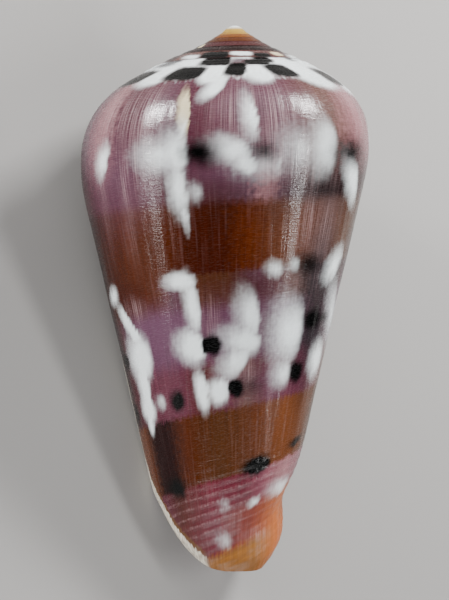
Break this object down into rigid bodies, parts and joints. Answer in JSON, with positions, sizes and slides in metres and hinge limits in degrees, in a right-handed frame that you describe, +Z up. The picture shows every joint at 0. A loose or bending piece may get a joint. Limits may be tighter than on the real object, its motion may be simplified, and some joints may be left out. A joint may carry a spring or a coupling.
{
  "type": "cone shell",
  "caption": "Adult gauguin cone sea shell lying aperture down: a low pointed spire on a tall glossy cone, with a long narrow aperture and a thin lip.",
  "frame": {"origin": "on the surface the shell rests on, under the centre of its bounding box", "axes": "+Z is up with the aperture facing down, +Y points from the siphonal end towards the spire, +X is to the right of the shell's back when the spire is ahead"},
  "size_m": [0.0366, 0.0696, 0.0335],
  "materials": {
    "shell": "polished natural shell, mauve pink with two brown bands, white flames and black spots"
  },
  "bodies": {
    "root": {"shell": "shell"}
  },
  "joints": []
}
